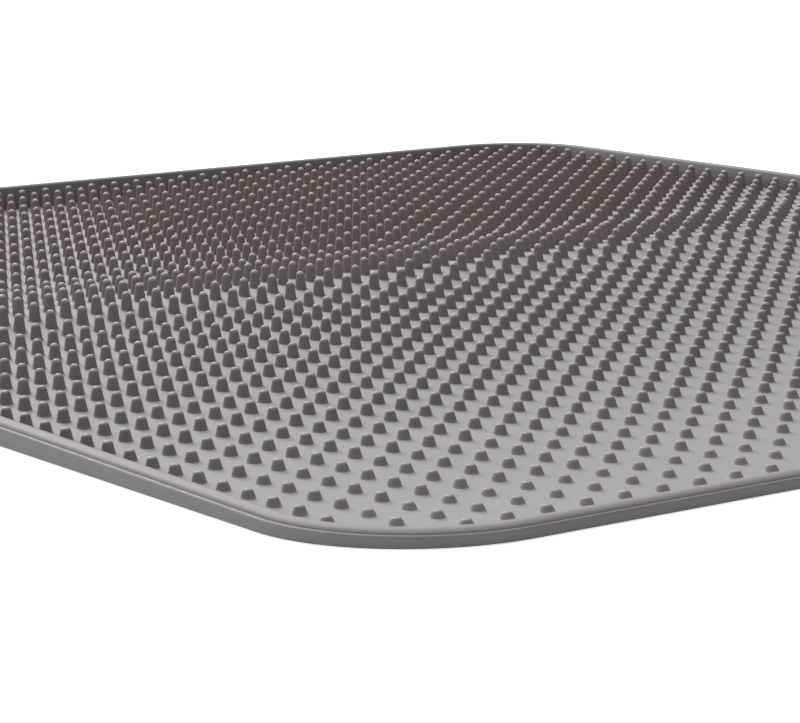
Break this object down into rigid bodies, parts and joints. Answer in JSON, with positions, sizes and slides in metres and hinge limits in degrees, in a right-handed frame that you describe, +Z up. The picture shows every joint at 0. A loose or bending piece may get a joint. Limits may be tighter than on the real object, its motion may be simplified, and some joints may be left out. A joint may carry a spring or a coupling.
{
  "type": "nubbed wedge standing mat",
  "caption": "Rounded rectangular rubber mat for standing on, a low wedge with a raised edge and a square grid of tapered nubs that grow taller from one end to the other.",
  "frame": {"origin": "centre of the underside, on the ground", "axes": "+Z up out of the nubs; +Y along the longer side from the low end to the tall end; +X across"},
  "size_m": [0.4626, 0.5624, 0.0106],
  "materials": {
    "top_rubber": "satin moulded",
    "edge_rubber": "satin moulded",
    "core_rubber": "matt cut",
    "grip_rubber": "matt fine texture"
  },
  "bodies": {
    "root": {"nub_sheet": "top_rubber", "edge_band": "edge_rubber", "ridge_core": "core_rubber", "backing_sheet": "grip_rubber"}
  },
  "joints": []
}
